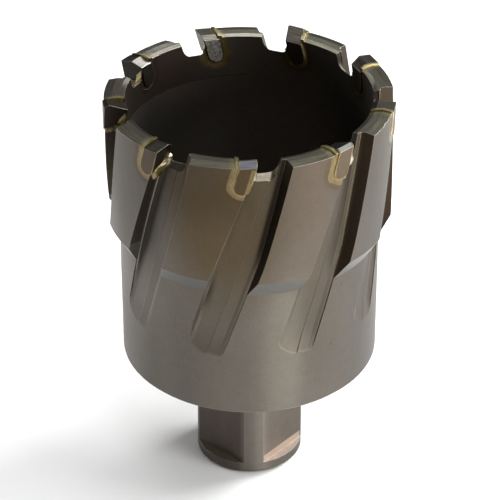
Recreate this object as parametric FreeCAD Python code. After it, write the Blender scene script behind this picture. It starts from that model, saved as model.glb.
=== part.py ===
"""Annular cutter with brazed carbide tips, on a shank with two clamping flats.

The cutter stands on its shank end: origin at the middle of that end, +Z towards the teeth.
One turned and milled steel body carries nine carbide tips, each held in its pocket by a braze seam.
Sizes are millimetres and degrees. Angles count from the front (-Y), anticlockwise seen from the teeth.
"""

import FreeCAD
import Part
import math
import os

# Shank
shank_diameter = 19.05
shank_length = 23.3
shank_end_chamfer = 0.8
flat_depth = 1.67
flat_lower_land = 2.5
flat_upper_land = 3.0
flat_middle_angle = 4.5
flat_spread = 90.0
pilot_bore_diameter = 8.0
pilot_bore_chamfer = 0.8

# Turned body
cutting_diameter = 50.0
tip_overhang_outside = 0.25
tip_overhang_inside = 0.2
step_depth = 2.05
step_length = 3.5
lower_wall = 1.5
body_length = 50.8
upper_length = 22.2
shoulder_chamfer = 0.8
cup_floor_thickness = 9.7
cup_corner_chamfer = 2.5
bore_land_length = 7.6
bore_relief = 0.1
bore_relief_run = 0.3

# Teeth
tooth_count = 9
lead_angle = 2.9
lead_height = 0.4
tip_tilt = 15.0
tip_width = 2.8
tip_depth = 5.1
braze_gap = 0.6
braze_rise = 0.3
braze_fillet = 0.5
tip_relief = 5.0

# Ground outlines of the three tips that follow each other: share of the width outwards, height over the rim
inner_chamfer_tip = [(0.0, -0.15), (0.46, 0.8), (1.0, 0.45)]
high_ridge_tip = [(0.0, -0.3), (0.79, 1.1), (1.0, 0.75)]
low_crown_tip = [(0.0, 0.05), (0.25, 0.6), (1.0, 0.4)]
tip_forms = [inner_chamfer_tip, high_ridge_tip, low_crown_tip]

# Steel crown between the tips
crown_bevel_width = 0.75
crown_bevel_rise = 0.25
crown_flat_width = 1.35
crown_flat_rise = 0.07
crown_fall = 0.3
crown_relief = 1.7

# Gullets
gullet_width = 4.1
gullet_depth = 2.75
gullet_corner_radius = 1.1
gullet_slope = 50.0

# Flutes
helix_angle = 19.7
flute_width_rim = 6.1
flute_width_low = 8.2
flute_taper_length = 20.0
flute_taper_curve = 1.2
flute_length = 38.8
flute_floor_depth = 0.6
flute_ledge_depth = 0.22
flute_ledge_width = 0.28
flute_ledge_fall = 0.04
flute_foot_width = 0.6
flute_wall_lean = 0.25
flute_pass_share = 0.58
flute_pass_step = 0.08
flute_pass_blend = 0.12
left_pass_skew = 2.6
right_pass_skew = 0.5
runout_disc_radius = 25.0
flute_section_spacing = 1.5

# Worked out from the sizes above
shank_radius = shank_diameter / 2
pilot_radius = pilot_bore_diameter / 2
tip_radius = cutting_diameter / 2
upper_radius = tip_radius - tip_overhang_outside
lower_radius = upper_radius - step_depth
bore_radius = lower_radius - lower_wall
relief_radius = bore_radius + bore_relief
tip_bore_radius = bore_radius - tip_overhang_inside
shoulder_height = shank_length
rim_height = shoulder_height + body_length
step_top = rim_height - upper_length
step_bottom = step_top - step_length
cup_floor = shoulder_height + cup_floor_thickness
flute_end = rim_height - flute_length
lead_top = rim_height + lead_height
flute_floor_radius = lower_radius - flute_floor_depth
pitch = 360.0 / tooth_count

# How far the shapes that cut reach past what they cut, and how closely a found edge must match
clear = 3.0
tool_top = rim_height + 4 * clear
match = 0.001


def at(angle, radius, height, across=0.0):
    """A point at an angle round the axis; across is its distance along the tangent there."""
    turn = math.radians(angle)
    return FreeCAD.Vector(
        radius * math.sin(turn) + across * math.cos(turn),
        -radius * math.cos(turn) + across * math.sin(turn),
        height,
    )


def arc_angle(length, radius):
    """The angle that an arc of this length takes at this radius."""
    return math.degrees(length / radius)


def turned(points, start=0.0, sweep=360.0):
    """Turns an outline of (radius, height) points about the axis, from one angle over a sweep."""
    corners = [at(start, radius, height) for radius, height in points]
    face = Part.Face(Part.makePolygon(corners + corners[:1]))
    return face.revolve(FreeCAD.Vector(), FreeCAD.Vector(0, 0, 1), sweep)


def repeated(tool):
    """Copies of a tool, one for each tooth."""
    copies = []
    for tooth in range(tooth_count):
        copies.append(spun(tool, tooth * pitch))
    return copies


def spun(shape, angle):
    """A copy of a shape turned about the axis."""
    copy = shape.copy()
    copy.rotate(FreeCAD.Vector(), FreeCAD.Vector(0, 0, 1), angle)
    return copy


def tilted(shape, angle, height, slope):
    """Tilts a shape about the radius at an angle and height, so that it rises anticlockwise."""
    axis = at(angle, 1.0, 0.0)
    shape.rotate(at(angle, 0.0, height), axis, slope)
    return shape


def body_blank():
    """The turned steel: shank, shoulder, stepped wall, and the cup with its relieved bore.

    The shank's wall is drawn in three stretches: it is whole only at the lands, above and below the flats.
    """
    outline = [
        (pilot_radius, 0.0),
        (shank_radius - shank_end_chamfer, 0.0),
        (shank_radius, shank_end_chamfer),
        (shank_radius, flat_lower_land),
        (shank_radius, shank_length - flat_upper_land),
        (shank_radius, shoulder_height),
        (lower_radius - shoulder_chamfer, shoulder_height),
        (lower_radius, shoulder_height + shoulder_chamfer),
        (lower_radius, step_bottom),
        (upper_radius, step_top),
        (upper_radius, rim_height + clear),
        (bore_radius, rim_height + clear),
        (bore_radius, rim_height - bore_land_length),
        (relief_radius, rim_height - bore_land_length - bore_relief_run),
        (relief_radius, cup_floor + cup_corner_chamfer),
        (relief_radius - cup_corner_chamfer, cup_floor),
        (pilot_radius + pilot_bore_chamfer, cup_floor),
        (pilot_radius, cup_floor - pilot_bore_chamfer),
    ]
    return turned(outline)


def shank_flats():
    """Two flats at right angles, closed by a land at each end of the shank."""
    flats = []
    for side in (-0.5, 0.5):
        block = Part.makeBox(
            shank_diameter,
            flat_depth + clear,
            shank_length - flat_lower_land - flat_upper_land,
            FreeCAD.Vector(-shank_radius, -shank_radius - clear, flat_lower_land),
        )
        flats.append(spun(block, flat_middle_angle + side * flat_spread))
    return flats


def left_edge(height):
    """Angle of a flute's left edge on the upper body, a helix through the tip's leading corner."""
    rate = math.degrees(math.tan(math.radians(helix_angle)) / upper_radius)
    return lead_angle + rate * (height - lead_top)


def flute_width(height):
    """Width of a flute on the upper body: it narrows over its last stretch up to the rim."""
    above = height - (rim_height - flute_taper_length)
    share = (max(0.0, above) / flute_taper_length) ** flute_taper_curve
    return flute_width_low - (flute_width_low - flute_width_rim) * share


def run_out(depth, skew, share, height):
    """Radius of a pass at a depth under the lower body, lifted out at its end by the disc's round path.

    The disc stands askew: the pass ends higher at its left side, share 0, than at its right side, share 1.
    """
    end = flute_end + skew * (1.0 - share) ** 2
    path = math.sqrt(2 * runout_disc_radius * depth)
    past = max(0.0, end + path - height)
    return lower_radius - depth + past * past / (2 * runout_disc_radius)


def flute_section(height):
    """One flute's outline at a height: a radial and a leaning wall, two ledges, a floor of two passes."""
    ledge_drop = upper_radius - lower_radius + flute_ledge_depth
    left = left_edge(height)
    right = left + arc_angle(flute_width(height), upper_radius)
    right_foot = right - arc_angle(flute_wall_lean * ledge_drop, upper_radius)
    ledge = arc_angle(flute_ledge_width, lower_radius)
    foot = arc_angle(flute_foot_width, lower_radius)
    blend = arc_angle(flute_pass_blend, lower_radius)
    split = left + (right_foot - left) * flute_pass_share
    inner_ledge = flute_ledge_depth + flute_ledge_fall
    right_floor = flute_floor_depth - flute_pass_step

    def left_pass(angle, depth):
        return angle, run_out(depth, left_pass_skew, (angle - left) / (split - left), height)

    def right_pass(angle, depth):
        return angle, run_out(depth, right_pass_skew, (angle - split) / (right_foot - split), height)

    return [
        (left, upper_radius + clear),
        left_pass(left, flute_ledge_depth),
        left_pass(left + ledge, inner_ledge),
        left_pass(left + ledge + foot, flute_floor_depth),
        left_pass(split, flute_floor_depth),
        right_pass(split + blend, right_floor),
        right_pass(right_foot - ledge - foot, right_floor),
        right_pass(right_foot - ledge, inner_ledge),
        right_pass(right_foot, flute_ledge_depth),
        (right + arc_angle(flute_wall_lean * clear, upper_radius), upper_radius + clear),
    ]


def flute_tool():
    """A flute lofted through evenly spaced sections, from under its run-out to above the teeth."""
    bottom = flute_end - 2 * flute_section_spacing
    steps = math.ceil((rim_height + 2 * clear - bottom) / flute_section_spacing)
    wires = []
    for step in range(steps + 1):
        height = bottom + step * flute_section_spacing
        corners = [at(angle, radius, height) for angle, radius in flute_section(height)]
        wires.append(Part.makePolygon(corners + corners[:1]))
    return Part.makeLoft(wires, True, False)


def slanted(across, along):
    """A point of the tip's plane: across from its leading face, along its tilt from its lead corner."""
    tilt = math.radians(tip_tilt)
    side = across * math.cos(tilt) + along * math.sin(tilt)
    height = lead_top - across * math.sin(tilt) + along * math.cos(tilt)
    return at(lead_angle, tip_bore_radius - clear, height, side)


def outward(length):
    """The vector along the tip's radius."""
    return at(lead_angle, length, 0.0)


def slot_prism(margin):
    """A round-ended slot, tilted like the tip and larger than it by a margin, through the whole wall."""
    middle = -tip_width / 2
    half = tip_width / 2 + margin
    tilt = math.radians(tip_tilt)
    foot = (tip_width / 2 * (1.0 - math.sin(tilt)) - tip_depth) / math.cos(tilt)
    top = 2 * clear
    sides = [
        Part.makeLine(slanted(middle - half, top), slanted(middle - half, foot)),
        Part.Arc(
            slanted(middle - half, foot),
            slanted(middle, foot - half),
            slanted(middle + half, foot),
        ).toShape(),
        Part.makeLine(slanted(middle + half, foot), slanted(middle + half, top)),
        Part.makeLine(slanted(middle + half, top), slanted(middle - half, top)),
    ]
    return Part.Face(Part.Wire(sides)).extrude(outward(tip_radius - tip_bore_radius + 2 * clear))


def gullet_tool():
    """The gap in front of a tip: its left wall is the leading face, its floor falls away outwards."""
    tilt = math.radians(tip_tilt)
    reach = tip_radius - tip_bore_radius + 2 * clear
    floor = rim_height - gullet_depth
    start = floor + (bore_radius - tip_bore_radius + clear) * math.tan(math.radians(gullet_slope))
    corners = []
    for across, height in ((0.0, tool_top), (0.0, start), (gullet_width, start), (gullet_width, tool_top)):
        along = (height - lead_top + across * math.sin(tilt)) / math.cos(tilt)
        corners.append(slanted(across, along))
    fall = reach * math.tan(math.radians(gullet_slope))
    path = outward(reach) + at(lead_angle, 0.0, -fall, -fall * math.tan(tilt))
    prism = Part.Face(Part.makePolygon(corners + corners[:1])).extrude(path)
    low = [edge for edge in prism.Edges if is_floor_edge(edge, path, start)]
    return prism.makeFillet(gullet_corner_radius, low)


def is_floor_edge(edge, path, start):
    """True for an edge that runs along the path from the floor's height."""
    along = edge.lastVertex().Point - edge.firstVertex().Point
    ends = [vertex.Point.z for vertex in edge.Vertexes]
    return along.cross(path).Length < match and abs(max(ends) - start) < match


def crown_tool(rise):
    """What is ground off above one tooth: a bevel to the bore, a flat, and a fall to the outside."""
    bevel_end = bore_radius + crown_bevel_width
    flat_end = bevel_end + crown_flat_width
    bevel_top = rim_height + crown_bevel_rise + rise
    flat_top = bevel_top + crown_flat_rise
    bevel_slope = crown_bevel_rise / crown_bevel_width
    fall_slope = crown_fall / (upper_radius - flat_end)
    inner = bore_radius - clear
    outer = upper_radius + clear
    outline = [
        (inner, rim_height + rise - bevel_slope * clear),
        (bevel_end, bevel_top),
        (flat_end, flat_top),
        (outer, flat_top - fall_slope * (outer - flat_end)),
        (outer, tool_top),
        (inner, tool_top),
    ]
    middle = (lead_angle + gullet_middle() - pitch) / 2
    tool = turned(outline, gullet_middle() - pitch, pitch)
    return tilted(tool, middle, rim_height, crown_relief)


def gullet_middle():
    """Angle of the middle of the gullet in front of the first tip."""
    return lead_angle + arc_angle(gullet_width / 2, bore_radius)


def tip_top_tool(profile):
    """What is ground off above one tip, falling away behind its leading edge."""
    width = tip_radius - tip_bore_radius
    points = [(tip_bore_radius + share * width, rim_height + rise) for share, rise in profile]
    first, second = points[0], points[1]
    slope = (second[1] - first[1]) / (second[0] - first[0])
    last, before = points[-1], points[-2]
    fall = (before[1] - last[1]) / (last[0] - before[0])
    outline = [(first[0] - clear, first[1] - slope * clear)] + points[1:-1]
    outline += [(last[0] + clear, last[1] - fall * clear)]
    outline += [(last[0] + clear, tool_top), (first[0] - clear, tool_top)]
    tool = turned(outline, lead_angle - pitch / 2, pitch / 2 + gullet_middle() - lead_angle)
    return tilted(tool, lead_angle, lead_top, tip_relief)


def carbide_tip(profile):
    """A round-ended carbide block, ground to the cutting diameters and to its own top form."""
    ring = turned(
        [
            (tip_bore_radius, rim_height - 2 * tip_depth),
            (tip_radius, rim_height - 2 * tip_depth),
            (tip_radius, rim_height + clear),
            (tip_bore_radius, rim_height + clear),
        ]
    )
    return slot_prism(0.0).common(ring).cut(tip_top_tool(profile))


def braze_seam(blank):
    """The filler round the first tip: it fills the pocket, with a bead at the foot of the leading face."""
    space = slot_prism(braze_gap).cut(slot_prism(0.0)).cut(crown_tool(braze_rise))
    bead_outline = [
        (bore_radius, cup_floor),
        (flute_floor_radius + braze_fillet, cup_floor),
        (flute_floor_radius + braze_fillet, tool_top),
        (bore_radius, tool_top),
    ]
    gullet = gullet_tool()
    gullet.translate(FreeCAD.Vector(0, 0, braze_fillet))
    bead = space.common(turned(bead_outline)).cut(gullet)
    return space.common(blank).fuse(bead).removeSplitter()


def build():
    """All the cutter's pieces by name."""
    blank = body_blank().cut(shank_flats())
    blank = blank.cut(repeated(flute_tool()))
    blank = blank.cut(repeated(gullet_tool()))
    pockets = repeated(slot_prism(braze_gap))
    pieces = {"cutter_body": blank.cut(repeated(crown_tool(0.0))).cut(pockets)}
    tips = [carbide_tip(form) for form in tip_forms]
    seam = braze_seam(blank)
    for tooth in range(tooth_count):
        number = tooth + 1
        turn = tooth * pitch
        pieces["carbide_tip_%d" % number] = spun(tips[tooth % len(tips)], turn)
        pieces["braze_seam_%d" % number] = spun(seam, turn)
    return pieces


def main():
    """Writes one file for each piece."""
    os.makedirs("parts", exist_ok=True)
    for name, shape in build().items():
        solid = shape.Solids[0] if len(shape.Solids) == 1 else shape
        solid.exportStep(os.path.join("parts", name + ".step"))
        report = (name, len(shape.Solids), shape.isValid(), shape.Volume)
        print("%-16s solids %d valid %s volume %.2f" % report)


main()
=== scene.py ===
# %% [markdown]
# # Annular cutter with brazed carbide tips
#
# The machined model comes from the frame: one steel body, nine carbide tips and nine braze seams. This lesson
# gives each of them the finish that the real tool has, with painted light and shade in part of its colours,
# adds the drops of solder that froze in the open, and lights the cutter as in a small photo studio. All
# lengths in the frame are metres. The cutter stands on its shank end, its teeth point up and -Y is its front.

# %% Load the machined model
import math
import bpy
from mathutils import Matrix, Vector


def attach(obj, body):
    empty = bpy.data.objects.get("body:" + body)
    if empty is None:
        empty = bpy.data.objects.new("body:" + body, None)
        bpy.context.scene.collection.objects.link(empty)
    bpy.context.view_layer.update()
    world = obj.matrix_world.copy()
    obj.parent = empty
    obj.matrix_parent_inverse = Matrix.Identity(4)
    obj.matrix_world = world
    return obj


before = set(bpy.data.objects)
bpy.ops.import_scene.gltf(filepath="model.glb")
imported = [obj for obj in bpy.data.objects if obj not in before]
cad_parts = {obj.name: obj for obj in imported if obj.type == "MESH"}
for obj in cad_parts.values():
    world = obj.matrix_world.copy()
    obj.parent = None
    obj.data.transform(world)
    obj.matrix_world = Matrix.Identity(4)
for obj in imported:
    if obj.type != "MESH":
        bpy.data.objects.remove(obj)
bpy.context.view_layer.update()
scene = bpy.context.scene
mm = 0.001

# %% [markdown]
# ## Colours
#
# A paint program shows a colour as an sRGB hex value, while a shader works with linear ones. Linear numbers
# could be typed in, but they are hard to picture, so every colour is written as hex and one function turns
# it.

# %% Colours
def linear(hex_colour):
    """The linear colour of an sRGB hex value such as #8a8070."""
    channels = [int(hex_colour[start:start + 2], 16) / 255 for start in (1, 3, 5)]
    return [c / 12.92 if c <= 0.04045 else ((c + 0.055) / 1.055) ** 2.4 for c in channels] + [1.0]


print("a mid brown as linear:", [round(c, 3) for c in linear("#6d6557")])

# %% [markdown]
# ## Nodes
#
# A material is a tree of nodes. It could be clicked together by hand, but in code it can be repeated and
# changed. One helper adds any node with its settings and with what goes into its sockets, so that a
# material reads as a list of steps.

# %% Nodes
def add(tree, kind, inputs=(), **settings):
    """Adds one node with its settings, fills its sockets by name or order, and returns it."""
    node = tree.nodes.new("ShaderNode" + kind)
    for name, value in settings.items():
        setattr(node, name, value)
    in_use = [socket for socket in node.inputs if socket.enabled]
    for key, value in inputs.items() if isinstance(inputs, dict) else enumerate(inputs):
        socket = node.inputs[key] if isinstance(key, str) else in_use[key]
        if isinstance(value, bpy.types.Node):
            value = [output for output in value.outputs if output.enabled][0]
        if isinstance(value, bpy.types.NodeSocket):
            tree.links.new(value, socket)
        else:
            socket.default_value = value
    return node


def new_tree(name):
    """A new material with an empty node tree, and that tree."""
    material = bpy.data.materials.new(name)
    material.use_nodes = True
    material.node_tree.nodes.clear()
    return material, material.node_tree


print("materials before the first finish:", len(bpy.data.materials))

# %% [markdown]
# ## Where a point lies on the tool
#
# The finish of such a cutter follows its geometry: solder lies round each insert, heat has tinted the steel
# beside it, and the walls of the flutes are darker than the ground outside. A pattern laid on by hand would
# hardly sit right nine times, so the materials work out from the Object coordinates where a point lies. The
# first step gives its place round the axis and the way its surface faces. It also gives the distance from
# the middle of a brown cloud in the film at the front, which is taller than it is wide.

# %% Places round the axis
cloud_middle = (-4.0, -24.4, 37.0)
cloud_squash = (1.0, 1.0, 0.6)


def axis_places(tree):
    """A point's place round the axis, in millimetres and degrees from the front, and its surface's facing."""
    texture = add(tree, "TexCoord")
    place = add(tree, "VectorMath", {"Vector": texture.outputs["Object"], "Scale": 1 / mm}, operation="SCALE")
    x, y, z = add(tree, "SeparateXYZ", [place]).outputs
    flat = add(tree, "CombineXYZ", [x, y])
    radius = add(tree, "VectorMath", [flat], operation="LENGTH").outputs["Value"]
    front = add(tree, "Math", [y, -1.0], operation="MULTIPLY")
    turn = add(tree, "Math", [x, front], operation="ARCTAN2")
    azimuth = add(tree, "Math", [turn], operation="DEGREES")
    axis = add(tree, "VectorMath", [flat], operation="NORMALIZE")
    squashed = add(tree, "VectorMath", [place, cloud_squash], operation="MULTIPLY")
    return {
        "place": place.outputs[0],
        "radius": radius,
        "height": z,
        "depth": y,
        "azimuth": azimuth.outputs[0],
        "ring": add(tree, "CombineXYZ", [radius, turn, 0.0]).outputs[0],
        "up": add(tree, "SeparateXYZ", [texture.outputs["Normal"]]).outputs[2],
        "outward": add(tree, "VectorMath", [axis, texture.outputs["Normal"]],
                       operation="DOT_PRODUCT").outputs["Value"],
        "cloud": add(tree, "VectorMath", [squashed, cloud_middle], operation="DISTANCE").outputs["Value"],
    }


print("the cloud's middle is", round(cloud_middle[2] / cloud_squash[2], 1), "mm above the floor")

# %% [markdown]
# ## Round an insert
#
# An insert and its seam have the outline of a slot with a round end, which leans by the tilt of the tips.
# Nine outlines could be drawn, but wrapping the azimuth at each tooth folds all teeth into one, so one
# outline serves them all. Solder never ends in a drawn line, so a noise moves the outline to and fro a
# little.

# %% Places round an insert
tooth_pitch = 360.0 / 9
lead_angle = 2.9
lead_top = 74.5
tip_tilt = math.radians(15.0)
tip_half_width = 1.4
tip_round_middle = 4.206
wobbles_per_mm = 0.5
wobble_reach = 0.16


def insert_places(tree, at):
    """A point's distances from the leading edge and from the middle plane and the outline of its insert."""
    past_lead = add(tree, "Math", [at["azimuth"], lead_angle], operation="SUBTRACT")
    above_lead = add(tree, "Math", [at["height"], lead_top], operation="SUBTRACT")
    in_tooth = add(tree, "Math", [past_lead, tooth_pitch / 2, -tooth_pitch / 2], operation="WRAP")
    sine = add(tree, "Math", [add(tree, "Math", [in_tooth], operation="RADIANS")], operation="SINE")
    side = add(tree, "Math", [at["radius"], sine], operation="MULTIPLY")
    upright = add(tree, "VectorRotate", {"Vector": add(tree, "CombineXYZ", [side, above_lead]),
                                         "Angle": tip_tilt}, rotation_type="Z_AXIS")
    from_middle = add(tree, "VectorMath", [upright, (tip_half_width, tip_round_middle, 0)], operation="ADD")
    across, along, _ = add(tree, "SeparateXYZ", [from_middle]).outputs
    below = add(tree, "Math", [along, 0.0], operation="MINIMUM")
    reach = add(tree, "VectorMath", [add(tree, "CombineXYZ", [across, below])], operation="LENGTH")
    wobble = add(tree, "TexNoise", {"Vector": at["place"], "Scale": wobbles_per_mm, "Detail": 3.0})
    outline = add(tree, "MapRange", [wobble, 0.3, 0.7, -tip_half_width - wobble_reach,
                                     -tip_half_width + wobble_reach])
    return {
        "past_lead": past_lead.outputs[0],
        "above_lead": above_lead.outputs[0],
        "across": across,
        "solder": add(tree, "Math", [reach, outline], operation="ADD").outputs[0],
    }


print("tips at", [round(lead_angle + tooth * tooth_pitch, 1) for tooth in range(9)], "degrees")

# %% [markdown]
# ## In a flute
#
# A flute climbs as a helix and narrows towards the rim, and its floor was milled in two passes. Its looks
# could be tied to the height and the azimuth alone, but the stripes along its edges climb with it, so the
# material unrolls the flute: it subtracts the helix and gives the distances from the left edge, from the
# right wall and from the line where the first pass ends.

# %% Places in a flute
upper_radius = 24.75
helix_angle = math.radians(19.7)
flute_rise = math.degrees(math.tan(helix_angle) / upper_radius)
wide_height, wide_width = 54.1, 8.2
narrow_height, narrow_width = 74.1, 6.1
wall_foot = 0.57
pass_share = 0.58


def flute_places(tree, at):
    """A point's distances in millimetres from a flute's left edge, right wall and first pass."""
    rise = add(tree, "Math", [at["above_lead"], -flute_rise], operation="MULTIPLY")
    past_edge = add(tree, "Math", [at["past_lead"], rise], operation="ADD")
    in_flute = add(tree, "Math", [past_edge, tooth_pitch * 0.75, -tooth_pitch / 4], operation="WRAP")
    flute = add(tree, "Math", [in_flute, math.radians(upper_radius)], operation="MULTIPLY")
    width = add(tree, "MapRange", [at["height"], wide_height, narrow_height, wide_width, narrow_width])
    floor_width = add(tree, "Math", [width, wall_foot], operation="SUBTRACT")
    first_pass = add(tree, "Math", [floor_width, pass_share], operation="MULTIPLY")
    return {
        "flute": flute.outputs[0],
        "wall": add(tree, "Math", [width, flute], operation="SUBTRACT").outputs[0],
        "fold": add(tree, "Math", [flute, first_pass], operation="SUBTRACT").outputs[0],
    }


print("flute edge turns", round(flute_rise, 3), "degrees for each millimetre of height")

# %% [markdown]
# ## Unevenness
#
# No surface of the tool is one colour. Images of rust or brushed steel could be laid on, but they would
# repeat and blur, so noises in space do it: four of them mix two shades each, and a fifth pattern puts a
# few dark pits into the film. Their scales are counts for each millimetre: a blotch of the coating is about
# 14 mm wide and a mottle about 2 mm. The blasted grain is finer than a pixel, so it is drawn 0.4 mm wide,
# as coarse as it needs to show. The streaks are grinding marks round the axis, drawn 0.2 mm wide and about
# 5 mm long.

# %% Unevenness
# The real grain, about 0.05 mm, and the finer grinding marks are drawn coarser, so that they show.
patterns = [
    ("blotch", "place", {"Scale": 0.07, "Detail": 3.0}, (0.35, 0.65)),
    ("mottle", "place", {"Scale": 0.6, "Detail": 5.0, "Roughness": 0.65}, (0.3, 0.7)),
    ("grain", "place", {"Scale": 2.6, "Detail": 4.0, "Roughness": 0.7}, (0.3, 0.7)),
    ("streaks", "ring", {"Scale": 5.0, "Detail": 4.0}, (0.35, 0.65)),
]
pits_per_mm = 0.22


def tool_places(tree):
    """All that the coats ask for: a point's places and the patterns there."""
    at = axis_places(tree)
    at.update(insert_places(tree, at))
    at.update(flute_places(tree, at))
    for name, space, sockets, spread in patterns:
        noise = add(tree, "TexNoise", {"Vector": at[space], **sockets})
        at[name] = add(tree, "MapRange", [noise, *spread, 0.0, 1.0]).outputs[0]
    pits = add(tree, "TexVoronoi", {"Vector": at["place"], "Scale": pits_per_mm})
    at["pit"] = pits.outputs["Distance"]
    return at


print("widths in mm:", {name: round(1 / sockets["Scale"], 1) for name, _, sockets, _ in patterns})

# %% [markdown]
# ## Coats
#
# A real finish is layers: steel, film, heat tint, solder. One way is a shader for each of them, but their
# borders are soft and all of them are metal, so one shader is enough and only its colour and roughness
# change. A finish is then a list of coats, laid over each other from first to last, and some of the coats are
# painted light and shade rather than finish. Each coat has four entries:
#
# - the limits in which it lies: what is measured, its lowest and highest value, and the width of its border
# - its paint: one hex colour, or a pattern with the two hex colours that it mixes
# - its cover, the share of what is below that it hides
# - its roughness, or None where it leaves the roughness as it was

# %% Laying coats
def laid(tree, at, colour, rough, coats):
    """Lays the coats over a colour and a roughness, and returns both."""
    for limits, paint, cover, coat_rough in coats:
        mask = cover
        for key, low, high, blur in limits:
            if low is not None:
                mask = add(tree, "MapRange", [at[key], low - blur / 2, low + blur / 2, 0.0, mask],
                           interpolation_type="SMOOTHSTEP")
            if high is not None:
                mask = add(tree, "MapRange", [at[key], high - blur / 2, high + blur / 2, mask, 0.0],
                           interpolation_type="SMOOTHSTEP")
        if isinstance(paint, str):
            coat = linear(paint)
        else:
            pattern, dark, light = paint
            coat = add(tree, "Mix", [at[pattern], linear(dark), linear(light)], data_type="RGBA")
        colour = add(tree, "Mix", [mask, colour, coat], data_type="RGBA")
        if coat_rough:
            rough = add(tree, "Mix", [mask, rough, coat_rough], data_type="FLOAT")
    return colour, rough


side_on = ("up", None, 0.6, 0.3)
outside = [("radius", 24.0, None, 0.4), ("outward", 0.8, None, 0.1), side_on]
on_crown = [("height", 73.4, None, 0.4), ("up", 0.75, None, 0.2)]
in_bore = [("radius", None, 21.4, 0.1), side_on]
wet_tip = ("azimuth", -176.0, -138.0, 8.0)
bright_back = ("azimuth", 100.0, 168.0, 6.0)
print("limits for the outside, the crown and the bore:", len(outside), len(on_crown), len(in_bore))

# %% [markdown]
# ## Solder beside a seam
#
# The brass-coloured solder flowed past each seam and was ground back with the steel, so a halo follows the
# insert: a dark tint from the flame, a bright stripe over the seam, a darker line and a second, browner
# stripe. It could be modelled as thin shells, but it has no height, so it is paint, and the same list goes
# on the steel, on the carbide and on the seam, which makes the stripes run on from one to the next. On the
# crown the halo is olive at the front and much brighter at the back. In the bore it is brown, and one tip
# at the back was wetted all over.

# %% Solder beside a seam
crown_solder = on_crown + [("solder", 0.0, None, 0.1)]
bore_solder = in_bore + [("solder", 0.0, None, 0.2)]
solder_coats = [
    # outside: the tint, the bright stripe, the line, the brown stripe, and a greyer halo at the right
    (outside + [("solder", -0.34, 2.0, 0.7)], ("mottle", "#51412c", "#5f4d34"), 0.4, None),
    (outside + [("solder", -0.12, 0.48, 0.16)], ("mottle", "#80704d", "#93825c"), 0.9, 0.42),
    (outside + [("solder", 0.42, 0.62, 0.14)], ("mottle", "#665938", "#736546"), 0.6, 0.42),
    (outside + [("solder", 0.56, 1.1, 0.2)], ("mottle", "#766649", "#897858"), 0.85, 0.42),
    (outside + [("solder", -0.12, 1.1, 0.2), ("azimuth", 64.0, 100.0, 6.0)], "#767165", 0.7, None),
    # crown: olive, brighter at the back on both sides, and a dark line along the seam
    (crown_solder + [("solder", None, 1.1, 1.6)], ("mottle", "#7c7754", "#9a946d"), 0.9, 0.38),
    (crown_solder + [("solder", None, 0.9, 0.4), bright_back], ("mottle", "#a39b78", "#cfc8a6"), 0.8, 0.38),
    (crown_solder + [("solder", None, 0.9, 0.5), ("azimuth", -178.0, -112.0, 6.0)],
     ("mottle", "#8f8862", "#d8d0ac"), 0.85, 0.38),
    (on_crown + [("solder", -0.14, 0.16, 0.12)], ("mottle", "#4a4630", "#5d583c"), 0.7, 0.4),
    # bore: brown, tan round the wetted tip, olive beside it, a dark line, and one pale drop under the rim
    (bore_solder + [("solder", None, 1.3, 0.9)], ("mottle", "#42331f", "#57472f"), 0.7, 0.45),
    (bore_solder + [("solder", None, 1.3, 0.9), wet_tip], ("mottle", "#857048", "#a48c5c"), 0.9, 0.4),
    (bore_solder + [("solder", None, 1.7, 1.6), ("azimuth", 140.0, 179.0, 8.0)],
     ("mottle", "#5b4c30", "#6d5d3d"), 0.8, 0.45),
    (in_bore + [("solder", -0.14, 0.14, 0.1)], "#17120c", 0.85, None),
    (in_bore + [("solder", -0.1, 0.4, 0.2), ("height", 70.0, None, 3.0), ("azimuth", 140.0, 160.0, 2.0)],
     "#d8c9a0", 0.9, 0.4),
]
print("solder coats:", len(solder_coats))
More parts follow.
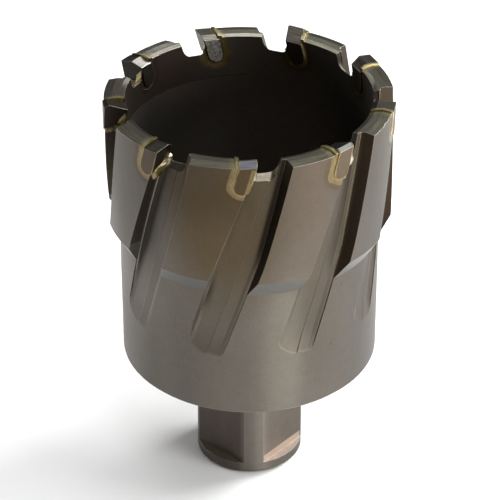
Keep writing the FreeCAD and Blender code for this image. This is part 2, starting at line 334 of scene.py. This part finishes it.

# %% [markdown]
# ## Coated steel
#
# The body is alloy steel, turned, milled, hardened, blasted and then coated with a bronze-grey nitride film.
# To the eye the film is a satin metal: its grain is too fine to see, so a highlight spreads wide and soft.
# One brown with a noise would give a new, even film. The real one drifts between olive, brown and a purplish
# grey, so large soft coats follow its drift round the body. Part of what they lay on is painted light and
# shade: lighter and darker zones by azimuth and height that stand in for how the light falls, so from the
# back and the sides this shading is a guess. They are plain colours, because the blotches, the mottle and the
# grain vary them enough, and a shader has only so much room for patterns.

# %% Drift of the film and painted light and shade on the outside
film_drift_and_painted_light_coats = [
    # large, the film's drift with painted light and shade: grey at the left and at the right, brown towards
    # the rim, pale low down at the left and the front
    ([("azimuth", -130.0, -25.0, 30.0)], "#64615d", 0.7, None),
    ([("azimuth", 48.0, 140.0, 24.0)], "#5a5651", 0.7, None),
    ([("height", 62.0, None, 18.0)], "#514a3f", 0.45, None),
    ([("height", None, 58.0, 12.0), ("azimuth", -170.0, 24.0, 18.0)], "#79736b", 0.75, None),
    # left, drift and painted shade: a darker stretch low down and one below the rim
    ([("azimuth", -82.0, -42.0, 16.0), ("height", None, 38.0, 12.0)], "#635e57", 0.7, None),
    ([("azimuth", -64.0, -44.0, 10.0), ("height", 48.0, 63.0, 8.0)], "#56524d", 0.5, None),
    # front and its right, drift and painted light and shade: dark low down and at the right, a pale foot,
    # brown stretches, the pale middle
    ([("azimuth", -35.0, 5.0, 16.0), ("height", None, 44.0, 20.0)], "#68625b", 0.7, None),
    ([("azimuth", 24.0, 44.0, 16.0), ("height", 30.0, 62.0, 16.0)], "#615b53", 0.6, None),
    ([("azimuth", 8.0, 21.0, 10.0), ("height", None, 33.0, 8.0)], "#857f75", 0.5, None),
    ([("azimuth", 19.0, 32.0, 10.0), ("height", 62.0, None, 8.0)], "#5a5047", 0.5, None),
    ([("azimuth", 6.0, 32.0, 6.0), ("height", 69.5, None, 3.0)], "#544d40", 0.45, None),
    ([("azimuth", 14.0, 32.0, 14.0), ("height", 48.0, None, 10.0)], "#6d6155", 0.55, None),
    ([("azimuth", 7.0, 22.0, 12.0), ("height", 30.0, 50.0, 14.0)], "#847e72", 0.6, None),
    # front: the brown cloud, and a brown stretch under the rim
    ([("cloud", None, 8.8, 11.0)], "#5f513b", 0.9, None),
    ([("height", 64.0, None, 9.0), ("azimuth", -38.0, 3.0, 8.0)], "#493e30", 0.55, None),
]
print("coats on the outside:", len(film_drift_and_painted_light_coats))

# %% [markdown]
# ## Inside the flutes
#
# A flute's floor has nearly the body's colour, but its walls look brown to almost black, most of all at their
# feet. The milled ledges along the floor are bright, and the round run-outs low down are darker. Light alone
# would give half of this. The rest is painted shade and painted highlights in these coats, which follow the
# unrolled flute and so climb with it.

# %% Inside the flutes: painted shade and highlights
flute_floor = [("radius", 21.9, 22.64, 0.06), side_on]
walls = [("outward", -0.75, 0.75, 0.1), ("up", -0.6, 0.6, 0.1), ("radius", 22.0, 26.0, 0.1)]
right_flutes = ("azimuth", 30.0, 90.0, 6.0)
right_foot = flute_floor + [("flute", 0.5, None, 0.2), ("wall", -0.1, None, 0.1)]
flute_shade_and_highlight_coats = [
    # floors: all of them, then painted light and shade: a pale line where the two passes meet, a pale and a
    # brown strip at the front, and the walls' feet painted dark as shade
    (flute_floor + [("flute", 0.0, None, 0.2), ("wall", 0.0, None, 0.2)], "#50483a", 0.3, None),
    (flute_floor + [("fold", 0.0, 0.13, 0.06), ("height", 41.0, None, 6.0), ("azimuth", -20.0, 20.0, 6.0)],
     "#766a55", 0.7, None),
    (flute_floor + [("wall", 0.3, 1.0, 0.1), ("height", 44.0, 54.0, 4.0), ("azimuth", -30.0, 30.0, 10.0)],
     "#726957", 0.6, None),
    (flute_floor + [("flute", 0.24, 1.0, 0.14), ("height", 38.0, None, 6.0), ("azimuth", -20.0, 12.0, 8.0)],
     "#4e4638", 0.75, None),
    (right_foot + [("wall", None, 1.35, 0.9), ("height", 54.0, None, 8.0), ("azimuth", -12.0, 30.0, 10.0)],
     "#201b14", 0.92, None),
    (right_foot + [("wall", None, 1.5, 1.0), ("height", 54.0, None, 8.0), ("azimuth", 30.0, 180.0, 10.0)],
     "#4a4034", 0.8, None),
    (flute_floor + [("flute", 0.3, None, 0.08), ("flute", None, 1.6, 1.8), ("azimuth", -180.0, -16.0, 6.0),
                    ("height", 46.0, None, 8.0)], "#27231c", 0.85, None),
    # walls: painted shade, dark brown, and painted lighter in the flutes left of the front and at the right
    (walls, "#362d22", 0.85, None),
    (walls + [("flute", 2.0, None, 0.5), ("azimuth", -50.0, -14.0, 6.0)], "#6b5e4b", 0.8, None),
    (walls + [("flute", None, 2.0, 0.5), ("azimuth", -76.0, -40.0, 6.0)], "#584d42", 0.85, None),
    (walls + [right_flutes], "#463a30", 0.85, None),
    (walls + [right_flutes, ("radius", None, 22.9, 0.8)], "#5a4e42", 0.85, None),
    # painted highlights: the left ledge, the right ledge, and the left edge of the front flute
    ([("flute", 0.06, 0.3, 0.1), ("radius", 22.3, 22.66, 0.06), ("azimuth", -100.0, -16.0, 6.0), side_on,
      ("height", 46.0, None, 6.0)], ("mottle", "#a5a197", "#c2beb4"), 0.9, 0.4),
    ([("wall", 0.52, 0.8, 0.12), ("radius", 22.2, 22.66, 0.06), right_flutes, side_on,
      ("height", 50.0, None, 8.0)], ("mottle", "#706a52", "#8b8567"), 0.75, 0.4),
    ([("flute", -0.1, 0.1, 0.1), ("height", 50.5, 62.0, 5.0), ("radius", 24.4, None, 0.1),
      ("azimuth", -20.0, 8.0, 4.0)], "#7c7363", 0.6, 0.4),
    # front flute low down, painted light and shade: both sides of its left edge, its floor's lower end, and
    # the foot of its right wall
    ([("flute", -0.05, 0.34, 0.1), ("height", 39.0, 53.0, 3.0), ("azimuth", -30.0, 6.0, 6.0),
      ("radius", 22.0, 22.8, 0.1), side_on], "#4a4337", 0.85, None),
    ([("flute", -0.24, 0.04, 0.1), ("height", 41.0, 48.6, 3.0), ("azimuth", -30.0, 6.0, 6.0), side_on],
     "#3e372e", 0.6, None),
    ([("flute", 0.2, 7.8, 0.2), ("height", 24.0, 36.0, 6.0), ("azimuth", -48.0, -8.0, 6.0),
      ("radius", None, 22.6, 0.1), side_on], "#5f5545", 0.5, None),
    ([("wall", 0.2, 0.62, 0.1), ("height", 34.0, 47.0, 3.0), ("radius", None, 22.68, 0.04),
      ("azimuth", -40.0, 5.0, 6.0), side_on], "#3a322a", 0.7, None),
]
print("coats in the flutes:", len(flute_shade_and_highlight_coats))

# %% [markdown]
# ## Ground faces
#
# The crown, the slopes round it and the underside of the step are ground or turned, which leaves fine streaks
# round the axis and a cooler, brighter grey. One bright ring would be too even for the crown: some teeth are
# brighter than the rest, the rear is painted brighter as painted light, and the inner edge gets a painted
# highlight. The flats of the shank were milled. Each ends low down in a flat step, and the step and a band
# just above it are painted as the light and shade of a curved ledge: bright at the right, darker at the left.

# %% Ground faces
ground_top = [("up", 0.75, None, 0.1), ("height", 73.2, None, 0.2)]
inner_edge = ground_top + [("radius", None, 21.95, 0.1)]
outer_slope = [("up", 0.45, 0.99, 0.1), ("height", 66.0, 73.3, 0.2), ("outward", 0.45, None, 0.1)]
ledge = [("up", 0.9, None, 0.1), ("height", 2.0, 3.0, 0.2)]
ground_finish_and_painted_light_coats = [
    # underside of the step, its ground grey lightened as a painted reflection of the table, and painted shade
    # on the bore's land at the left
    ([("up", -0.7, -0.3, 0.1), ("height", 47.0, 53.0, 0.5), ("radius", 22.6, None, 0.1)],
     "#7a7975", 0.85, 0.42),
    ([("height", 66.4, None, 0.3), ("radius", None, 21.3, 0.06), ("azimuth", -160.0, -60.0, 30.0), side_on],
     "#453833", 0.8, None),
    # crown: all of it, darker at the left, painted light at the back, one brighter tooth, and a painted
    # highlight on its inner edge
    (ground_top, ("streaks", "#545147", "#706d60"), 0.95, 0.38),
    (ground_top + [("azimuth", -100.0, -40.0, 6.0)], "#4f4a42", 0.4, None),
    (ground_top + [("depth", 12.0, None, 6.0)], ("streaks", "#6a675b", "#85826f"), 0.8, 0.36),
    (ground_top + [("azimuth", -153.0, -121.0, 8.0)], ("mottle", "#8a877b", "#c9c6ba"), 0.85, 0.34),
    (inner_edge + [("azimuth", None, -100.0, 10.0)], ("streaks", "#9d9a8d", "#d6d3c6"), 0.9, 0.3),
    (inner_edge + [("azimuth", 168.0, None, 6.0)], "#b9b6a9", 0.9, 0.3),
    (inner_edge + [bright_back], ("streaks", "#7d7a6d", "#aeab9c"), 0.9, 0.33),
    # slopes from the crown outwards, the front one darker, and the lower end of the bore's land painted
    # lighter over the shade at its step
    (outer_slope, ("streaks", "#82796f", "#948a80"), 0.9, 0.4),
    (outer_slope + [("azimuth", 0.0, 20.0, 4.0)], ("streaks", "#6f685d", "#90897a"), 0.95, 0.35),
    ([("height", 66.05, 66.6, 0.1), ("radius", None, 21.4, 0.05)], "#7a705e", 0.35, None),
    # flats, painted light and shade: the right ledge, the right and the left flat, the bands above both
    # ledges painted as the lit and shaded run-outs of the ledges, and the left ledge
    (ledge + [("azimuth", 5.0, 100.0, 5.0)], ("mottle", "#cec2ba", "#decfca"), 0.95, 0.45),
    ([("azimuth", 18.0, 85.0, 4.0), ("height", 2.6, 22.0, 1.0), side_on], "#6d6156", 0.5, None),
    ([("height", None, 22.0, 1.0), ("azimuth", -85.0, -10.0, 5.0)], "#584d47", 0.7, None),
    ([("height", 2.4, 3.8, 0.15), ("radius", None, 9.35, 0.15), ("azimuth", 5.0, 94.0, 4.0), side_on],
     "#b1a192", 0.9, None),
    ([("height", 2.4, 3.7, 0.2), ("radius", None, 9.35, 0.15), ("azimuth", -88.0, -5.0, 4.0)],
     "#625d4d", 0.85, None),
    (ledge + [("azimuth", -88.0, -5.0, 4.0)], "#aca798", 0.9, None),
    # pits in the film
    ([("pit", None, 0.03, 0.02), ("blotch", 0.5, None, 0.1)], ("grain", "#17130f", "#2a241d"), 0.8, 0.5),
]
print("coats on the ground faces:", len(ground_finish_and_painted_light_coats))

# %% [markdown]
# ## From coats to a finish
#
# All the finishes are metals that differ in their coats and colours, so one function makes them. The mottle
# and the grain shade whatever the coats give. A real edge is never sharp. Its bevel could be modelled, but
# the machined mesh stays as it is, so the Bevel node bends the normal near an edge, which gives it a thin
# highlight. Where the bent and the true normal differ, a pale bare-steel colour is laid on, partly
# rubbed-through film and partly a painted highlight along the edge, more at the teeth than at the shank. Last
# comes a faint bump from the grain. A metal keeps the default IOR, because its colour already says how it
# reflects.

# %% From coats to a finish
mottle_shade = (0.82, 0.89)
grain_shade = (0.93, 1.07)
bare_steel_and_highlight = "#b8b0a0"
wear_and_highlight_heights = (70.0, 74.0)
wear_and_highlight_cosines = (0.995, 0.9)
grain_depth = 0.01 * mm


def coated(name, dark, light, rough, coats, edge=0.09, edge_wear_and_highlight=0.8):
    """A metal with its coats, edges rounded by so many millimetres, and the share of bare steel and painted
    edge highlight on them.
    """
    material, tree = new_tree(name)
    at = tool_places(tree)
    colour = add(tree, "Mix", [at["blotch"], linear(dark), linear(light)], data_type="RGBA")
    colour, rough = laid(tree, at, colour, rough, coats)
    clouds = add(tree, "MapRange", [at["mottle"], 0.0, 1.0, *mottle_shade])
    sparkle = add(tree, "MapRange", [at["grain"], 0.0, 1.0, *grain_shade])
    shade = add(tree, "Math", [clouds, sparkle], operation="MULTIPLY")
    colour = add(tree, "VectorMath", [colour, shade], operation="MULTIPLY")

    rounded = add(tree, "Bevel", {"Radius": edge * mm}, samples=6)
    true = add(tree, "NewGeometry").outputs["Normal"]
    alike = add(tree, "VectorMath", [rounded, true], operation="DOT_PRODUCT").outputs["Value"]
    # the pale edge colour is rubbed film and a painted highlight, stronger towards the rim
    wear_and_highlight_share = add(tree, "MapRange", [at["height"], *wear_and_highlight_heights, edge_wear_and_highlight / 3, edge_wear_and_highlight])
    edges = add(tree, "MapRange", [alike, *wear_and_highlight_cosines, 0.0, wear_and_highlight_share])
    colour = add(tree, "Mix", [edges, colour, linear(bare_steel_and_highlight)], data_type="RGBA")
    bump = add(tree, "Bump", {"Strength": 0.3, "Distance": grain_depth, "Height": at["grain"],
                              "Normal": rounded})
    shader = add(tree, "BsdfPrincipled", {"Base Color": colour, "Metallic": 1.0, "Roughness": rough,
                                          "Normal": bump})
    add(tree, "OutputMaterial", {"Surface": shader})
    return material


# the steel's finish together with its painted light and shade
steel_finish_and_painted_light_coats = film_drift_and_painted_light_coats + flute_shade_and_highlight_coats + ground_finish_and_painted_light_coats + solder_coats
steel = coated("satin_nitride_coated_steel", "#6a655e", "#69625b", 0.5, steel_finish_and_painted_light_coats)
print("coats on the steel:", len(steel_finish_and_painted_light_coats))

# %% [markdown]
# ## Ground carbide
#
# The tips are sintered carbide, ground on all sides and coated together with the body, so to the eye their
# outer faces hardly differ from the steel's. Bare carbide would be a cooler grey, but these share the film,
# so they share the function, and only their colours and the wider, weaker rim on their edges are their own.
# The tops were ground in single facets: most are dark, and two facets are painted bright as painted
# highlights. One inner face kept a mottled light grey from the brazing. The proud side walls of the tips are
# painted near white as painted light against their shade.

# %% Ground carbide
tip_top = [("up", 0.6, None, 0.1)]
inner_face = [("radius", None, 21.2, 0.05), side_on]
leading_face = ("across", 1.35, None, 0.1)
front_tip = ("azimuth", -8.0, 6.0, 2.0)
carbide_finish_and_painted_light_coats = [
    # the tips at the front and at the front right are browner
    ([front_tip], "#54462f", 0.8, None),
    ([("azimuth", 30.0, 50.0, 4.0)], "#655949", 0.8, None),
    # tops: all, the one at the left of the front, the front one, the wetted one, and two single facets
    # painted bright as painted highlights
    (tip_top, ("streaks", "#3d3834", "#5a5550"), 0.9, 0.35),
    (tip_top + [("azimuth", -50.0, -20.0, 8.0)], ("streaks", "#2c2825", "#423e3a"), 0.9, 0.36),
    (tip_top + [front_tip], ("streaks", "#6c6b71", "#8b8b93"), 0.9, 0.33),
    (tip_top + [wet_tip], ("streaks", "#75736a", "#a5a398"), 0.9, 0.33),
    (tip_top + [("azimuth", 20.0, 60.0, 8.0), ("radius", 24.16, None, 0.06)],
     ("streaks", "#83857f", "#a5a7a0"), 0.95, 0.33),
    (tip_top + [("azimuth", -130.0, -100.0, 8.0), ("radius", None, 22.84, 0.06)],
     ("mottle", "#c9c7bf", "#f0eee6"), 0.95, 0.3),
    # inner faces: dark, and the wetted one mottled
    (inner_face, ("mottle", "#37312a", "#463e35"), 0.95, None),
    (inner_face + [wet_tip], ("grain", "#5d5852", "#dcd6ca"), 0.95, None),
    # leading faces: dark brown, nearly black at the back left, greyer at the left
    ([leading_face, side_on], ("mottle", "#352d21", "#483d2b"), 0.9, 0.45),
    ([leading_face, ("azimuth", -140.0, -58.0, 6.0), side_on], "#26231e", 0.9, 0.45),
    ([leading_face, ("azimuth", -96.0, -58.0, 6.0), side_on], "#453a35", 0.9, 0.45),
    # solder smeared over the front tip, and the proud side walls of the tips painted near white as painted
    # light
    (outside + [("across", 0.7, None, 0.3), ("height", None, 74.2, 0.4), ("azimuth", -6.0, 6.0, 2.0)],
     ("mottle", "#80704d", "#93825c"), 0.85, 0.42),
    ([("radius", 24.6, None, 0.1), ("outward", None, 0.8, 0.1), ("across", None, 1.3, 0.1), side_on],
     ("mottle", "#e6d4a8", "#fff0cc"), 0.95, 0.42),
]
carbide = coated("ground_coated_carbide", "#5b5148", "#574d45", 0.5, carbide_finish_and_painted_light_coats + solder_coats,
                 edge=0.16, edge_wear_and_highlight=0.4)
print("coats on the carbide:", len(carbide_finish_and_painted_light_coats + solder_coats))

# %% [markdown]
# ## Braze filler
#
# The seam is dull brass-coloured solder, ground almost flush, so it looks like a satin yellow metal without a
# polish. Its stripes come from the same paint as on its neighbours. Where solder froze in the open it has a
# skin of its own, painted by place: creamy at the bore, brightened there as a painted highlight, pale grey on
# the tip at the front right, and dark olive at the left, darkened as painted shade. A material for each drop
# would do it too, but coats by place keep all the drops on one.

# %% Braze filler
braze = coated("dull_brass_solder", "#85744e", "#97865c", 0.4, solder_coats, edge_wear_and_highlight=0.1)
bead_colour_and_painted_light_coats = [
    # dark olive at the left as painted shade, creamy at the bore as a painted highlight, pale grey at the
    # front right
    ([("azimuth", -180.0, -58.0, 6.0)], ("mottle", "#3c3520", "#5c5338"), 0.9, 0.42),
    ([("radius", None, 22.6, 1.4), ("azimuth", -58.0, None, 6.0)],
     ("mottle", "#cbbd93", "#f4eacb"), 0.9, 0.33),
    ([("radius", 23.0, None, 0.5), ("azimuth", 20.0, 60.0, 4.0)],
     ("mottle", "#a8a28e", "#cfc9b6"), 0.9, 0.38),
]
open_braze = coated("frozen_solder_bead", "#7c6d48", "#94845c", 0.4, bead_colour_and_painted_light_coats, edge_wear_and_highlight=0.1)
finishes = {"cutter": steel, "carbide": carbide, "braze": braze}
for name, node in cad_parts.items():
    for slot in node.material_slots:
        slot.material = finishes[name.split("_")[0]]
print("finished nodes:", sorted(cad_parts)[:3], "and the rest")

# %% [markdown]
# ## Path of a bead
#
# Where a leading face meets its gullet, surplus solder froze as a bead: a fat drop at the bore end that
# thins as it runs outwards and down the flute's wall. The machined model has only the flush seam there. A
# bead could be sculpted, but it follows a line that is known, so the path of the joint comes first: points
# on the leading plane of a tip, each with how proud and how wide the bead is there.

# %% Path of a bead
# radius, distance along the leading plane, how proud and how wide, all in millimetres
bead_path = [
    (20.95, -2.65, 0.30, 0.35),
    (21.15, -2.80, 0.90, 0.85),
    (21.60, -3.20, 1.05, 1.00),
    (22.10, -3.80, 0.88, 0.98),
    (22.70, -4.35, 0.74, 1.00),
    (23.40, -4.75, 0.62, 1.04),
    (24.20, -4.95, 0.52, 1.04),
    (24.65, -5.05, 0.26, 0.66),
]


def joint_point(radius, along):
    """A point of the leading plane of a tip that stands at the front, in metres."""
    return Vector((along * math.sin(tip_tilt), -radius, lead_top + along * math.cos(tip_tilt))) * mm


bead_middle = joint_point(22.3, -4.1)
print("middle of a bead in mm:", [round(v / mm, 2) for v in bead_middle])

# %% [markdown]
# ## One bead
#
# The bead could be built point by point in mesh code. By hand it is quicker to set a disc on the start of
# the path, to extrude it from point to point and to resize it at each. Subdivision then rounds it. Ten
# corners round the disc are enough, because the drop is only 2 mm thick.

# %% One bead
bpy.ops.object.select_all(action="DESELECT")
first = joint_point(*bead_path[0][:2])
bpy.ops.mesh.primitive_circle_add(vertices=10, radius=1.0 * mm, fill_type="NGON", location=first,
                                  rotation=(math.pi / 2, 0, 0))
bead = bpy.context.object
bead.name = "bead_pattern"
bpy.ops.object.transform_apply(location=True, rotation=True, scale=True)
bpy.ops.object.mode_set(mode="EDIT")
bpy.ops.mesh.select_all(action="SELECT")
proud, wide = bead_path[0][2:]
bpy.ops.transform.resize(value=(proud, 1, wide), center_override=first)
for before, after in zip(bead_path, bead_path[1:]):
    here, there = joint_point(*before[:2]), joint_point(*after[:2])
    bpy.ops.mesh.extrude_region_move(TRANSFORM_OT_translate={"value": there - here})
    grow = (after[2] / before[2], 1, after[3] / before[3])
    bpy.ops.transform.resize(value=grow, center_override=there)
bpy.ops.mesh.select_all(action="SELECT")
bpy.ops.mesh.normals_make_consistent(inside=False)
bpy.ops.object.mode_set(mode="OBJECT")
smooth = bead.modifiers.new("smooth", "SUBSURF")
smooth.levels = smooth.render_levels = 2
bpy.ops.object.modifier_apply(modifier="smooth")
print("faces of one bead:", len(bead.data.polygons))

# %% [markdown]
# ## Nine beads
#
# The bead is copied and turned to each tip, every copy with a mesh of its own. Some tips got more solder
# than others, so a list gives each copy its size. Modelling each by hand would make them differ more, but
# at this size a displacement by one noise in space is enough: it gives each copy lumps of its own.

# %% Nine beads
bead_sizes = [0.6, 1.0, 0.9, 0.9, 0.5, 0.5, 0.66, 0.74, 1.05]
lumps = bpy.data.textures.new("lumps", "CLOUDS")
lumps.noise_scale = 0.9 * mm


def tooth_turn(tooth):
    """The angle for transform.rotate that turns a piece from the front to a tooth, counted from 0."""
    return -math.radians(lead_angle + tooth * tooth_pitch)


def make_lumpy(piece, strength):
    """Displaces the active piece by the lumps and smooths its shading."""
    uneven = piece.modifiers.new("uneven", "DISPLACE")
    uneven.texture = lumps
    uneven.texture_coords = "GLOBAL"
    uneven.strength = strength
    bpy.ops.object.modifier_apply(modifier="uneven")
    bpy.ops.object.shade_smooth()


for tooth, size in enumerate(bead_sizes):
    bpy.ops.object.select_all(action="DESELECT")
    copy = bead.copy()
    copy.data = bead.data.copy()
    copy.name = "solder_bead_%d" % (tooth + 1)
    scene.collection.objects.link(copy)
    copy.select_set(True)
    bpy.context.view_layer.objects.active = copy
    bpy.ops.object.mode_set(mode="EDIT")
    bpy.ops.mesh.select_all(action="SELECT")
    bpy.ops.transform.resize(value=(size, size, size), center_override=bead_middle)
    bpy.ops.transform.rotate(value=tooth_turn(tooth), orient_axis="Z", center_override=(0, 0, 0))
    bpy.ops.object.mode_set(mode="OBJECT")
    make_lumpy(copy, 0.3 * mm)
    copy.data.materials.append(open_braze)
    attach(copy, "root")
    spot = copy.data.vertices[0].co
    print(copy.name, "azimuth", round(math.degrees(math.atan2(spot.x, -spot.y)), 1), "radius",
          round(math.hypot(spot.x, spot.y) / mm, 2))
bpy.data.objects.remove(bead)

# %% [markdown]
# ## A drip
#
# On the leading face of the tip at the front right a flat drip of solder froze, broad at its foot and
# narrow at its top. A sphere would be too regular, so it starts as a small block. A cut through its middle
# keeps the lower half broad while the upper end is drawn in, and subdivision and the same lumps make it a
# drop.

# %% A drip
drip_tooth = 1
drip_shape = (2.8, 1.2, 2.4)
drip_top_shape = (0.45, 0.6, 1.0)
bpy.ops.object.select_all(action="DESELECT")
hang = joint_point(24.35, -2.35)
bpy.ops.mesh.primitive_cube_add(size=1.0 * mm, location=hang)
drip = bpy.context.object
drip.name = "solder_drip"
bpy.ops.object.transform_apply(location=True, rotation=True, scale=True)
bpy.ops.object.mode_set(mode="EDIT")
bpy.ops.mesh.select_all(action="SELECT")
bpy.ops.transform.resize(value=drip_shape, center_override=hang)
bpy.ops.mesh.bisect(plane_co=hang, plane_no=(0, 0, 1))
bpy.ops.mesh.select_all(action="DESELECT")
bpy.ops.object.mode_set(mode="OBJECT")
for corner in drip.data.vertices:
    corner.select = corner.co.z > hang.z + 0.4 * mm
bpy.ops.object.mode_set(mode="EDIT")
bpy.ops.transform.resize(value=drip_top_shape, center_override=hang)
bpy.ops.mesh.select_all(action="SELECT")
bpy.ops.transform.rotate(value=tooth_turn(drip_tooth), orient_axis="Z", center_override=(0, 0, 0))
bpy.ops.object.mode_set(mode="OBJECT")
smooth = drip.modifiers.new("smooth", "SUBSURF")
smooth.levels = smooth.render_levels = 3
bpy.ops.object.modifier_apply(modifier="smooth")
make_lumpy(drip, 0.4 * mm)
drip.data.materials.append(open_braze)
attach(drip, "root")
print("drip in mm:", [round(v / mm, 1) for v in drip.dimensions])

# %% [markdown]
# ## Camera
#
# The photo was taken with a long lens from well above the rim. A short lens close by would show the same
# rim, but the walls would lean together. So the camera stands 435 mm away, straight in front of the cutter,
# and looks down by 33 degrees, and the lens is long enough to fill the frame.

# %% Camera
look_at = (0.0, 0.0, 42.71 * mm)
distance = 435.0 * mm
elevation = math.radians(32.98)
camera_data = bpy.data.cameras.new("camera")
camera_data.lens = 177.2
camera_data.shift_x = 0.00132
camera = bpy.data.objects.new("camera", camera_data)
scene.collection.objects.link(camera)
camera.location = (0.0, -distance * math.cos(elevation), look_at[2] + distance * math.sin(elevation))
camera.rotation_euler = (math.pi / 2 - elevation, 0.0, 0.0)
scene.camera = camera
print("camera at", [round(v, 4) for v in camera.location])

# %% [markdown]
# ## Floor
#
# The cutter stands on a plain pale table. A curved backdrop would do as well, but from this far above only
# the table shows. Its roughness keeps reflections off it.

# %% Floor
bpy.ops.object.select_all(action="DESELECT")
bpy.ops.mesh.primitive_plane_add(size=6.0, location=(0, 0, 0))
floor = bpy.context.object
floor.name = "floor"
pale, tree = new_tree("pale_floor")
shader = add(tree, "BsdfPrincipled", {"Base Color": linear("#f9f9f9"), "Roughness": 0.7})
add(tree, "OutputMaterial", {"Surface": shader})
floor.data.materials.append(pale)
print("floor across in m:", round(floor.dimensions.x, 1))

# %% [markdown]
# ## Light
#
# Satin metal shows little more than what it mirrors. An even sky would make it flat, so the sky is nearly
# off and each side of the cutter gets a softbox for what it should pick up: bright from the right, dim from
# the left. The large softbox overhead lights the table and lightens the shadow that the others leave on it.

# %% Light
world = bpy.data.worlds.new("studio")
scene.world = world
world.use_nodes = True
world.node_tree.nodes.clear()
sky = add(world.node_tree, "Background", {"Color": (1, 1, 1, 1), "Strength": 0.05})
add(world.node_tree, "OutputWorld", {"Surface": sky})


def softbox(name, azimuth, height, reach, size, watts):
    """A square softbox that faces the cutter, at an azimuth from the front and a height over the floor."""
    data = bpy.data.lights.new(name, "AREA")
    data.shape = "SQUARE"
    data.size = size
    data.energy = watts
    light = bpy.data.objects.new(name, data)
    scene.collection.objects.link(light)
    turn = math.radians(azimuth)
    light.location = (reach * math.sin(turn), -reach * math.cos(turn), height)
    light.rotation_euler = (math.pi / 2 - math.atan2(height - look_at[2], reach), 0.0, turn)


# name, azimuth in degrees, height, distance from the axis and size in metres, watts
softbox("right_back", 120, 0.35, 0.52, 0.26, 4.6)
softbox("right_low", 56, 0.13, 0.6, 0.3, 3.2)
softbox("right_high", 72, 0.52, 0.37, 0.26, 1.4)
softbox("left_back", -112, 0.13, 0.6, 0.3, 1.7)
softbox("back_high", 180, 0.5, 0.38, 0.45, 0.6)
softbox("front_high", 16, 0.5, 0.42, 0.2, 0.8)
softbox("overhead", 0, 1.2, 0.01, 1.0, 5.0)
scene.view_settings.view_transform = "Standard"
print("softboxes:", len(bpy.data.lights))
